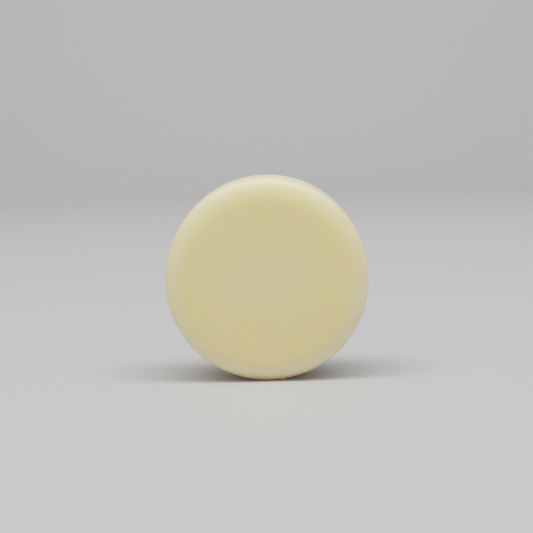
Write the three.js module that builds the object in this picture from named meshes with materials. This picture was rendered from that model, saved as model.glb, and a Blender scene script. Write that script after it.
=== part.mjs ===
// Shaving soap puck: one pressed disc of soap, in millimetres, +Z up.
//
// The puck stands on its side band, as a coin stands on its edge. Its round axis lies along Y,
// its front face looks along -Y and its rear face along +Y. The origin is the middle of the
// place where the band touches the surface below.

import * as THREE from 'three';

// Driving dimensions.
const DIAMETER = 70; // across the side band
const THICKNESS = 25.4; // from face to face
const SHOULDER_REACH = 8; // how far each face's rounded edge reaches in from the band
const SHOULDER_DROP = 4.5; // how far it falls back from the face on the way to the band
const DIE_LINE_WIDTH = 0.4; // fine crease that the pressing die leaves where shoulder meets band
const DIE_LINE_DEPTH = 0.12;

// The round surfaces are made of flats. Their number is a multiple of four, so that one flat lies
// on the surface below and the size along X and Z is the diameter across opposite flats.
const FLATS = 72;
const SHOULDER_STEPS = 8;

const SOAP = new THREE.MeshStandardMaterial({
  name: 'soap',
  color: 0xe9dfb9,
  roughness: 0.45,
  metalness: 0,
});

// One half of the outline, from the middle of the band out to the rear face's centre, as points
// of distance from the puck's axis and distance from its middle plane.
function rearHalfOutline() {
  const bandRadius = DIAMETER / 2;
  const bandEnd = THICKNESS / 2 - SHOULDER_DROP;
  const points = [
    new THREE.Vector2(bandRadius, bandEnd - DIE_LINE_WIDTH),
    new THREE.Vector2(bandRadius - DIE_LINE_DEPTH, bandEnd - DIE_LINE_WIDTH / 2),
  ];
  // The shoulder is a quarter of an ellipse that leaves the band square on and joins the face flat.
  for (let step = 0; step <= SHOULDER_STEPS; step += 1) {
    const turn = (step / SHOULDER_STEPS) * (Math.PI / 2);
    const radius = bandRadius - SHOULDER_REACH * (1 - Math.cos(turn));
    points.push(new THREE.Vector2(radius, bandEnd + SHOULDER_DROP * Math.sin(turn)));
  }
  points.push(new THREE.Vector2(0, THICKNESS / 2));
  return points;
}

// The whole outline, from the front face's centre round the band to the rear face's centre. The
// front half is the rear half's mirror image. Every radius is to a flat's middle, so it grows to
// reach the corners between the flats.
function outline() {
  const cornerScale = 1 / Math.cos(Math.PI / FLATS);
  const rear = rearHalfOutline();
  const front = rear.map((point) => new THREE.Vector2(point.x, -point.y)).reverse();
  return [...front, ...rear].map((point) => new THREE.Vector2(point.x * cornerScale, point.y));
}

function soapPuck() {
  const firstCorner = Math.PI / FLATS;
  const geometry = new THREE.LatheGeometry(outline(), FLATS, firstCorner);
  const puck = new THREE.Mesh(geometry, SOAP);
  puck.name = 'soap_puck';
  puck.position.z = DIAMETER / 2;
  return puck;
}

const shavingSoapPuck = new THREE.Group();
shavingSoapPuck.add(soapPuck());

export default shavingSoapPuck;
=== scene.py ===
"""Shaving soap puck standing on its band on a pale studio floor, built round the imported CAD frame.

Metres, +Z up. The puck's axis lies along Y and its front face looks along -Y.
"""

import math
import random

import bpy
from mathutils import Matrix, Vector, noise


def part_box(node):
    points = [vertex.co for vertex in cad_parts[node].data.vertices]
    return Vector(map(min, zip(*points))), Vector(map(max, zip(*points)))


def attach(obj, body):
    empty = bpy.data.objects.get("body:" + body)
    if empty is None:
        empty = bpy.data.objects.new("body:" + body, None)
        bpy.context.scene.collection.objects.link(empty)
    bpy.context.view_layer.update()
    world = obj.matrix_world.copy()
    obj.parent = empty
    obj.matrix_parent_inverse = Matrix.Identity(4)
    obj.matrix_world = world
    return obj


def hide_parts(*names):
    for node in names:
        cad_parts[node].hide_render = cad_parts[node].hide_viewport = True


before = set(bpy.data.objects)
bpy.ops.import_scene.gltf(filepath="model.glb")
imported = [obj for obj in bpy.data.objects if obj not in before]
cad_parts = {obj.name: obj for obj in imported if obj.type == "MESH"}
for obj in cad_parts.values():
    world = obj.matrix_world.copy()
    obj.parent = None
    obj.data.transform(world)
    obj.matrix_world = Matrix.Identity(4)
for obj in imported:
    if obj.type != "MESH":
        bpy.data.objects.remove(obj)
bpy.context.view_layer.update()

MM = 0.001

# The puck's size and place, from the frame.
puck_low, puck_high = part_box("soap_puck")
RADIUS = (puck_high.x - puck_low.x) / 2
HALF_THICKNESS = (puck_high.y - puck_low.y) / 2
AXIS_HEIGHT = (puck_high.z + puck_low.z) / 2

# The outline of one half: a nearly flat face, a quarter-ellipse shoulder and the straight band.
SHOULDER_REACH = 8 * MM
SHOULDER_DROP = 4.5 * MM
FACE_CROWN = 0.6 * MM
BAND_END = HALF_THICKNESS - SHOULDER_DROP

# The line that the die leaves where a shoulder meets the band: a crease with ragged flash beside it.
CREASE_WIDTH = 0.3 * MM
CREASE_DEPTH = 0.16 * MM
CREASE_DEPTH_CHANGE = 0.6
CREASE_WAVES = 3
FLASH_HEIGHT = 0.3 * MM
FLASH_WAVES = 12
FLASH_NOISE_APART = 5
DIE_LINE_AT = BAND_END - CREASE_WIDTH / 2

# The speck of flash left beside the front die line, close to where the puck stands.
BURR_ANGLE = math.radians(7.8)
BURR_DEPTH = BAND_END + 0.6 * MM
BURR_LENGTH = 0.6 * MM
BURR_WIDTH = 0.5 * MM
BURR_HEIGHT = 0.65 * MM

# The hand-pressed unevenness: (size of a hollow, its depth).
UNEVENNESS = ((18 * MM, 0.05 * MM), (6 * MM, 0.015 * MM), (2 * MM, 0.004 * MM))
BAND_SINK = 0.05 * MM

# Small dents that handling leaves on the band and on the rear shoulder.
DENTS = 9
DENT_SEED = 4
DENT_SIZES = (0.5 * MM, 1.3 * MM)
DENT_DEPTHS = (0.05 * MM, 0.13 * MM)
DENT_SIZES_FELT = 3

# The mesh: a square patch of cells in the middle of each face, coarse rings round it, then fine ones.
FACE_CELLS_AROUND = 240
REFINEMENT = 3
RIM_CELLS_AROUND = FACE_CELLS_AROUND * REFINEMENT
PATCH_CELLS = FACE_CELLS_AROUND // 4
PATCH_RADIUS = 12 * MM
FACE_RINGS = 14
SHOULDER_RINGS = 26
DIE_LINE_RINGS = 9
DIE_LINE_REACH = 0.9 * MM
BAND_RINGS = 8


def blend(low, high, share):
    return low + (high - low) * share


def crown_drop(radius):
    """How far the slightly domed face has fallen back at a distance from the axis."""
    return FACE_CROWN * (radius / RADIUS) ** 2


def half_outline():
    """(radius, depth from the middle plane) of each ring, from the middle patch to the middle plane."""
    flat_radius = RADIUS - SHOULDER_REACH
    outline = []
    for ring in range(FACE_RINGS):
        radius = blend(PATCH_RADIUS, flat_radius, ring / FACE_RINGS)
        outline.append((radius, HALF_THICKNESS - crown_drop(radius)))
    for ring in range(SHOULDER_RINGS):
        turn = ring / SHOULDER_RINGS * math.pi / 2
        radius = flat_radius + SHOULDER_REACH * math.sin(turn)
        fall = (SHOULDER_DROP - FACE_CROWN) * (1 - math.cos(turn))
        outline.append((radius, HALF_THICKNESS - crown_drop(radius) - fall))
    for ring in range(DIE_LINE_RINGS):
        outline.append((RADIUS, BAND_END - DIE_LINE_REACH * ring / DIE_LINE_RINGS))
    for ring in range(BAND_RINGS + 1):
        outline.append((RADIUS, blend(BAND_END - DIE_LINE_REACH, 0, ring / BAND_RINGS)))
    return outline


def whole_outline():
    """The outline from the front patch round the band to the rear patch, with Y as its depth."""
    half = half_outline()
    front = [(radius, -depth) for radius, depth in half]
    rear = half[-2::-1]
    return front + rear


def outward_normals(outline):
    """The outward normal, as (radial, along Y), at each point of the whole outline."""
    normals = []
    last = len(outline) - 1
    for index in range(len(outline)):
        before = outline[max(index - 1, 0)]
        after = outline[min(index + 1, last)]
        along = Vector((after[0] - before[0], after[1] - before[1])).normalized()
        normals.append((along.y, -along.x))
    return normals


def unevenness(point):
    """How far the hollows and swells of the hand-pressed surface lift a point."""
    return sum(height * noise.noise(point / size) for size, height in UNEVENNESS)


def die_line_offset(angle, depth):
    """The crease and the flash of the nearer die line. The flash is one crease width nearer the middle."""
    side = math.copysign(1, depth)
    around = Vector((math.cos(angle), math.sin(angle), 0))
    crease_place = around * CREASE_WAVES + Vector((0, 0, side))
    flash_place = around * FLASH_WAVES + Vector((0, 0, FLASH_NOISE_APART * side))
    half_widths = 2 * (abs(depth) - DIE_LINE_AT) / CREASE_WIDTH
    strength = 1 + CREASE_DEPTH_CHANGE * noise.noise(crease_place)
    crease = CREASE_DEPTH * strength * math.exp(-(half_widths**2))
    ragged = max(0, noise.noise(flash_place)) ** 2
    flash = FLASH_HEIGHT * ragged * math.exp(-((half_widths + 2) ** 2))
    return flash - crease


def burr_offset(angle_from_foot, depth):
    """The speck of flash: square-ended along the die line and rounded across it."""
    along = (angle_from_foot - BURR_ANGLE) * RADIUS / BURR_LENGTH
    across = (depth + BURR_DEPTH) / BURR_WIDTH
    return BURR_HEIGHT * math.exp(-(along**4) - across**2)


def random_dents():
    """(place, size, depth) of each dent, round the upper three quarters of the band and rear shoulder."""
    draw = random.Random(DENT_SEED)
    dents = []
    for _ in range(DENTS):
        angle = draw.uniform(-math.pi / 4, 5 * math.pi / 4)
        depth = draw.uniform(-BAND_END / 2, HALF_THICKNESS - SHOULDER_DROP / 2)
        spot = Vector((RADIUS * math.cos(angle), depth, RADIUS * math.sin(angle)))
        dents.append((spot, draw.uniform(*DENT_SIZES), draw.uniform(*DENT_DEPTHS)))
    return dents


def dent_offset(point, dents):
    """How far the dents lift a point, which is zero or less."""
    offset = 0
    for spot, size, depth in dents:
        away = (point - spot).length / size
        if away < DENT_SIZES_FELT:
            offset -= depth * math.exp(-(away**2))
    return offset


def surface_point(radius, angle, depth, normal, dents):
    """A point of the real, slightly uneven surface. The angle is from +X towards +Z."""
    radial = Vector((math.cos(angle), 0, math.sin(angle)))
    plain = radial * radius + Vector((0, depth, 0))
    outward = radial * normal[0] + Vector((0, normal[1], 0))
    angle_from_foot = math.atan2(math.cos(angle), -math.sin(angle))
    offset = unevenness(plain) - BAND_SINK * normal[0]
    offset += die_line_offset(angle, depth) + burr_offset(angle_from_foot, depth)
    offset += dent_offset(plain, dents)
    uneven = plain + outward * offset + Vector((0, 0, AXIS_HEIGHT))
    uneven.z = max(uneven.z, 0)
    return uneven


def patch_polar_points():
    """The middle patch row by row, as (radius, angle), laid so that its rim is evenly spaced."""
    points = []
    for row in range(PATCH_CELLS + 1):
        for column in range(PATCH_CELLS + 1):
            across = 2 * column / PATCH_CELLS - 1
            up = 2 * row / PATCH_CELLS - 1
            if across == 0 and up == 0:
                points.append((0, 0))
            elif abs(across) > abs(up):
                points.append((across * PATCH_RADIUS, math.pi / 4 * up / across))
            else:
                points.append((up * PATCH_RADIUS, math.pi / 2 - math.pi / 4 * across / up))
    return points


def patch_rim(first):
    """The vertices of a patch's rim, anticlockwise from angle -45 degrees."""
    row_length = PATCH_CELLS + 1
    right = [row * row_length + PATCH_CELLS for row in range(PATCH_CELLS)]
    top = [PATCH_CELLS * row_length + column for column in range(PATCH_CELLS, 0, -1)]
    left = [row * row_length for row in range(PATCH_CELLS, 0, -1)]
    bottom = list(range(PATCH_CELLS))
    return [first + index for index in right + top + left + bottom]


def patch_faces(first):
    """The square cells of a patch whose first vertex is given."""
    row_length = PATCH_CELLS + 1
    faces = []
    for row in range(PATCH_CELLS):
        for column in range(PATCH_CELLS):
            corner = first + row * row_length + column
            above = corner + row_length
            faces.append((corner, corner + 1, above + 1, above))
    return faces


def ring_faces(inner, outer):
    """The faces between two rings: the outer one has as many vertices, or three times as many."""
    faces = []
    cells = len(inner)
    per_cell = len(outer) // cells
    for cell in range(cells):
        near = (inner[cell], inner[(cell + 1) % cells])
        far = [outer[(cell * per_cell + step) % len(outer)] for step in range(per_cell + 1)]
        if per_cell == 1:
            faces.append((near[0], far[0], far[1], near[1]))
        else:
            faces.append((near[0], far[0], far[1]))
            faces.append((near[0], far[1], far[2], near[1]))
            faces.append((near[1], far[2], far[3]))
    return faces


def turned_over(faces):
    """The same faces, looking the other way."""
    return [face[::-1] for face in faces]


def soap_puck():
    """The whole puck as one closed mesh."""
    dents = random_dents()
    outline = whole_outline()
    normals = outward_normals(outline)
    vertices = []

    def add_patch(side):
        first = len(vertices)
        for radius, angle in patch_polar_points():
            depth = side * (HALF_THICKNESS - crown_drop(radius))
            vertices.append(surface_point(radius, angle, depth, (0, side), dents))
        return first

    def add_ring(index):
        radius, depth = outline[index]
        coarse = min(index, len(outline) - 1 - index) < FACE_RINGS
        cells = FACE_CELLS_AROUND if coarse else RIM_CELLS_AROUND
        first = len(vertices)
        for cell in range(cells):
            angle = 2 * math.pi * cell / cells - math.pi / 4
            vertices.append(surface_point(radius, angle, depth, normals[index], dents))
        return list(range(first, first + cells))

    front = add_patch(-1)
    rear = add_patch(1)
    rings = [patch_rim(front)]
    rings += [add_ring(index) for index in range(1, len(outline) - 1)]
    rings.append(patch_rim(rear))
    faces = patch_faces(front) + turned_over(patch_faces(rear))
    for before, after in zip(rings, rings[1:]):
        if len(after) >= len(before):
            faces += ring_faces(before, after)
        else:
            faces += turned_over(ring_faces(after, before))

    mesh = bpy.data.meshes.new("soap_puck_body")
    mesh.from_pydata(vertices, [], faces)
    mesh.validate()
    mesh.shade_smooth()
    puck = bpy.data.objects.new("soap_puck_body", mesh)
    bpy.context.scene.collection.objects.link(puck)
    return puck


class Nodes:
    """Short calls that add nodes to one material and link them."""

    def __init__(self, material):
        material.use_nodes = True
        self.tree = material.node_tree
        self.shader = self.tree.nodes["Principled BSDF"]

    def add(self, kind, settings=None, **inputs):
        """Adds a node, with its settings and with its inputs as values or as other nodes' sockets."""
        node = self.tree.nodes.new(kind)
        for name, value in (settings or {}).items():
            setattr(node, name, value)
        for name, value in inputs.items():
            self.feed(node.inputs[name.replace("_", " ")], value)
        return node

    def feed(self, socket, value):
        if isinstance(value, bpy.types.NodeSocket):
            self.tree.links.new(value, socket)
        else:
            socket.default_value = value

    def math(self, operation, *values):
        node = self.add("ShaderNodeMath", {"operation": operation})
        for socket, value in zip(node.inputs, values):
            self.feed(socket, value)
        return node.outputs[0]

    def noise(self, place, size, detail=2.0, roughness=0.5):
        node = self.add(
            "ShaderNodeTexNoise", Vector=place, Scale=1 / size, Detail=detail, Roughness=roughness
        )
        return node.outputs["Fac"]

    def remap(self, value, from_low, from_high, to_low, to_high, smooth=False):
        node = self.add("ShaderNodeMapRange", {"interpolation_type": "SMOOTHSTEP" if smooth else "LINEAR"})
        for socket, number in zip(node.inputs, (value, from_low, from_high, to_low, to_high)):
            self.feed(socket, number)
        return node.outputs["Result"]

    def mix(self, share, first, second):
        node = self.add("ShaderNodeMix", {"data_type": "RGBA"})
        self.feed(node.inputs["Factor"], share)
        self.feed(node.inputs["A"], first)
        self.feed(node.inputs["B"], second)
        return node.outputs["Result"]


SOAP_YELLOW = (0.885, 0.79, 0.475, 1)
SOAP_PALE = (0.875, 0.815, 0.6, 1)
# The crease colour is painted shade.
CREASE_PAINTED_SHADE_COLOUR = (0.66, 0.48, 0.16, 1)
# The foot's amber is painted light and shade.
PAINTED_FOOT_AMBER = (0.73, 0.39, 0.03, 1)
SOAP_ROUGHNESS = (0.38, 0.48)
SOAP_IOR = 1.5
COAT_WEIGHT = 0.4
COAT_ROUGHNESS = 0.4
SCATTER_RADIUS = (1.0, 0.7, 0.3)
SCATTER_SCALE = 4 * MM

# Where the soap is paler: the middle, out to a radius, and the rim, between two radii, where the paleness
# is a painted sheen.
PALE_MIDDLE = (2 * MM, 23 * MM)
PALE_MIDDLE_SHARE = 0.5
PAINTED_SHEEN_RIM = (28 * MM, 32.5 * MM)
PAINTED_SHEEN_RIM_SHARE = 0.8

# The clouds and flecks: the size of each, and how far they shift the colour towards the paler one.
CLOUD_SIZE = 16 * MM
CLOUD_SHARE = 0.16
FLECK_SIZE = 1.6 * MM
FLECK_SHARE = 0.1

# How strongly the painted shade darkens and yellows the crease.
CREASE_PAINTED_SHADE_SHARE = 0.3

# The painted light and shade of the foot's amber: its strength, how high it comes, and how far past the
# band's end it fades.
AMBER_SHARE = 0.9
AMBER_HEIGHT = 5.5 * MM
AMBER_REACH = 3.6 * MM

# The fine relief that is too small to model.
POLISH_SIZE = 5 * MM
GRAIN_SIZE = 0.35 * MM
PINHOLE_SPACING = 2.2 * MM
PINHOLE_SHARE = 0.07
DRAW_MARK_WIDTH = 0.5 * MM
DRAW_MARK_STRETCH = 0.06
DRAW_MARK_FADE = 1 * MM
RELIEF_DEPTH = 0.03 * MM
RELIEF_STRENGTH = 0.25

# A noise texture mostly stays between these two values.
NOISE_LOW = 0.3
NOISE_HIGH = 0.7


def soap_material():
    """Dense pressed soap: waxy, cream, a little paler in the middle, and paler at the rim where a sheen is
    painted into its colour.
    """
    material = bpy.data.materials.new("pressed_soap")
    nodes = Nodes(material)
    place = nodes.add("ShaderNodeTexCoord").outputs["Object"]
    split = nodes.add("ShaderNodeSeparateXYZ", Vector=place)
    height = nodes.math("SUBTRACT", split.outputs["Z"], AXIS_HEIGHT)
    radius = nodes.math(
        "SQRT",
        nodes.math("ADD", nodes.math("POWER", split.outputs["X"], 2), nodes.math("POWER", height, 2)),
    )
    depth = nodes.math("ABSOLUTE", split.outputs["Y"])

    # Broad clouds, small flecks, the paler middle, and the paler rim that is a painted sheen.
    clouds = nodes.noise(place, CLOUD_SIZE, 3)
    clouds = nodes.remap(clouds, NOISE_LOW, NOISE_HIGH, -CLOUD_SHARE, CLOUD_SHARE)
    flecks = nodes.noise(place, FLECK_SIZE, 4, 0.6)
    flecks = nodes.remap(flecks, NOISE_LOW, NOISE_HIGH, -FLECK_SHARE, FLECK_SHARE)
    middle = nodes.remap(radius, *PALE_MIDDLE, PALE_MIDDLE_SHARE, 0.0, smooth=True)
    # The paler rim is a painted sheen.
    rim = nodes.remap(radius, *PAINTED_SHEEN_RIM, 0.0, PAINTED_SHEEN_RIM_SHARE, smooth=True)
    paleness = nodes.math("ADD", nodes.math("ADD", middle, rim), nodes.math("ADD", clouds, flecks))
    colour = nodes.mix(nodes.math("MAXIMUM", paleness, 0.0), SOAP_YELLOW, SOAP_PALE)

    # Painted shade: the crease of each die line is painted a little darker and yellower.
    from_crease = nodes.math("ABSOLUTE", nodes.math("SUBTRACT", depth, DIE_LINE_AT))
    crease_painted_shade = nodes.remap(from_crease, 0.0, CREASE_WIDTH, CREASE_PAINTED_SHADE_SHARE, 0.0, smooth=True)
    colour = nodes.mix(crease_painted_shade, colour, CREASE_PAINTED_SHADE_COLOUR)

    # Painted light and shade: the amber glow that light caught in the soap gives the puck's foot, and the
    # shade beside the contact, as a darker amber tint of its surface.
    on_band = nodes.remap(depth, BAND_END, BAND_END + AMBER_REACH, AMBER_SHARE, 0.0, smooth=True)
    near_foot = nodes.remap(height, -RADIUS, AMBER_HEIGHT - RADIUS, 1.0, 0.0, smooth=True)
    colour = nodes.mix(nodes.math("MULTIPLY", on_band, near_foot), colour, PAINTED_FOOT_AMBER)
    nodes.feed(nodes.shader.inputs["Base Color"], colour)

    polish = nodes.noise(place, POLISH_SIZE, 4)
    roughness = nodes.remap(polish, NOISE_LOW, NOISE_HIGH, *SOAP_ROUGHNESS)
    nodes.feed(nodes.shader.inputs["Roughness"], roughness)

    # A fine pressed grain, sparse pinholes, and faint draw marks along the band.
    grain = nodes.noise(place, GRAIN_SIZE, 3, 0.6)
    cells = nodes.add("ShaderNodeTexVoronoi", Vector=place, Scale=1 / PINHOLE_SPACING)
    pinholes = nodes.remap(cells.outputs["Distance"], 0.0, PINHOLE_SHARE, -1.0, 0.0, smooth=True)
    stretched = nodes.add("ShaderNodeMapping", Vector=place, Scale=(1, DRAW_MARK_STRETCH, 1))
    draw_marks = nodes.noise(stretched.outputs["Vector"], DRAW_MARK_WIDTH, 2)
    inside_lines = nodes.remap(depth, BAND_END, BAND_END - DRAW_MARK_FADE, 0.0, 1.0)
    relief = nodes.math("ADD", grain, nodes.math("MULTIPLY", draw_marks, inside_lines))
    relief = nodes.math("ADD", relief, pinholes)
    bump = nodes.add("ShaderNodeBump", Strength=RELIEF_STRENGTH, Distance=RELIEF_DEPTH, Height=relief)
    nodes.feed(nodes.shader.inputs["Normal"], bump.outputs["Normal"])

    nodes.shader.inputs["IOR"].default_value = SOAP_IOR
    nodes.shader.inputs["Coat Weight"].default_value = COAT_WEIGHT
    nodes.shader.inputs["Coat Roughness"].default_value = COAT_ROUGHNESS
    nodes.shader.inputs["Subsurface Weight"].default_value = 1.0
    nodes.shader.inputs["Subsurface Radius"].default_value = SCATTER_RADIUS
    nodes.shader.inputs["Subsurface Scale"].default_value = SCATTER_SCALE
    return material


SWEEP_WIDTH = 3.2
SWEEP_FRONT = -1.3
SWEEP_BACK = 0.75
SWEEP_RADIUS = 0.35
SWEEP_STEPS = 16
WALL_TOP = 1.4
BOARD_COLOUR = (0.63, 0.63, 0.635, 1)
BOARD_ROUGHNESS = 0.6


def board_material():
    """Matt painted studio board."""
    material = bpy.data.materials.new("studio_board")
    nodes = Nodes(material)
    nodes.feed(nodes.shader.inputs["Base Color"], BOARD_COLOUR)
    nodes.feed(nodes.shader.inputs["Roughness"], BOARD_ROUGHNESS)
    return material


def studio_sweep():
    """One pale sheet: the floor, a quarter-round sweep behind the puck and the wall above it."""
    outline = [(SWEEP_FRONT, 0), (0, 0), (SWEEP_BACK, 0)]
    for step in range(1, SWEEP_STEPS + 1):
        turn = step / SWEEP_STEPS * math.pi / 2
        rise = SWEEP_RADIUS * (1 - math.cos(turn))
        outline.append((SWEEP_BACK + SWEEP_RADIUS * math.sin(turn), rise))
    outline.append((SWEEP_BACK + SWEEP_RADIUS, WALL_TOP))
    vertices = []
    for across, height in outline:
        vertices += [(-SWEEP_WIDTH / 2, across, height), (SWEEP_WIDTH / 2, across, height)]
    faces = []
    for row in range(len(outline) - 1):
        faces.append((2 * row, 2 * row + 1, 2 * row + 3, 2 * row + 2))
    mesh = bpy.data.meshes.new("studio_sweep")
    mesh.from_pydata(vertices, [], faces)
    mesh.shade_smooth()
    sweep = bpy.data.objects.new("studio_sweep", mesh)
    sweep.data.materials.append(board_material())
    bpy.context.scene.collection.objects.link(sweep)


# Each soft light: name, place, the point it faces, (width, height), power in watts.
PUCK_MIDDLE = (0, 0, AXIS_HEIGHT)
SOFT_LIGHTS = (
    ("overhead_strip", (0, -0.18, 0.87), PUCK_MIDDLE, (1.2, 0.3), 4.95),
    ("front_fill", (0, -0.95, 0.35), PUCK_MIDDLE, (0.9, 0.4), 0.95),
    ("wall_wash", (0, 0.35, 0.7), (0, 1.1, 0.2), (1.2, 0.2), 1.55),
)
ROOM_LIGHT = 0.42


def studio_lights():
    """Large area lights that the camera doesn't see."""
    for name, place, faces, (width, height), power in SOFT_LIGHTS:
        lamp = bpy.data.lights.new(name, "AREA")
        lamp.shape = "RECTANGLE"
        lamp.size = width
        lamp.size_y = height
        lamp.energy = power
        light = bpy.data.objects.new(name, lamp)
        light.location = place
        light.rotation_euler = (Vector(faces) - Vector(place)).to_track_quat("-Z", "Y").to_euler()
        light.visible_camera = False
        bpy.context.scene.collection.objects.link(light)
    world = bpy.data.worlds.new("studio")
    world.use_nodes = True
    background = world.node_tree.nodes["Background"]
    background.inputs["Color"].default_value = (1, 1, 1, 1)
    background.inputs["Strength"].default_value = ROOM_LIGHT
    bpy.context.scene.world = world


CAMERA_DISTANCE = 0.5
CAMERA_ELEVATION = math.radians(8.03)
CAMERA_AZIMUTH = math.radians(0.63)
CAMERA_ROLL = math.radians(1.45)
CAMERA_LENS = 96.9
SENSOR_WIDTH = 36
AIM_OFFSET = Vector((-0.19 * MM, 0, 3.5 * MM))


def studio_camera():
    """The camera stands a little above the puck and a hair towards +X, and is rolled slightly."""
    data = bpy.data.cameras.new("camera")
    data.sensor_width = SENSOR_WIDTH
    data.lens = CAMERA_LENS
    camera = bpy.data.objects.new("camera", data)
    centre = Vector((0, 0, AXIS_HEIGHT))
    level = math.cos(CAMERA_ELEVATION)
    towards = Vector(
        (math.sin(CAMERA_AZIMUTH) * level, -math.cos(CAMERA_AZIMUTH) * level, math.sin(CAMERA_ELEVATION))
    )
    camera.location = centre + towards * CAMERA_DISTANCE
    aim = centre + AIM_OFFSET - camera.location
    turn = aim.to_track_quat("-Z", "Y").to_matrix() @ Matrix.Rotation(-CAMERA_ROLL, 3, "Z")
    camera.rotation_euler = turn.to_euler()
    bpy.context.scene.collection.objects.link(camera)
    bpy.context.scene.camera = camera


# The film response keeps linear tones up to this one, then eases brighter ones down to its white.
FILM_KEEPS = 0.42
FILM_KNEE = (0.64, 0.625)
FILM_WHITE = 0.8


def film_response():
    """The view's tone curve, which rolls the highlights off gently."""
    view = bpy.context.scene.view_settings
    view.view_transform = "Standard"
    view.use_curve_mapping = True
    all_channels = view.curve_mapping.curves[3]
    all_channels.points[1].location = (1, FILM_WHITE)
    straight_end = all_channels.points.new(FILM_KEEPS, FILM_KEEPS)
    straight_end.handle_type = "VECTOR"
    all_channels.points.new(*FILM_KNEE)
    view.curve_mapping.update()


# Light bounces many times in the narrow gaps beside the puck's foot.
DIFFUSE_BOUNCES = 12
ALL_BOUNCES = 16

studio_camera()
studio_sweep()
studio_lights()
film_response()
bpy.context.scene.cycles.diffuse_bounces = DIFFUSE_BOUNCES
bpy.context.scene.cycles.max_bounces = ALL_BOUNCES

puck = soap_puck()
puck.data.materials.append(soap_material())
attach(puck, "root")
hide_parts("soap_puck")
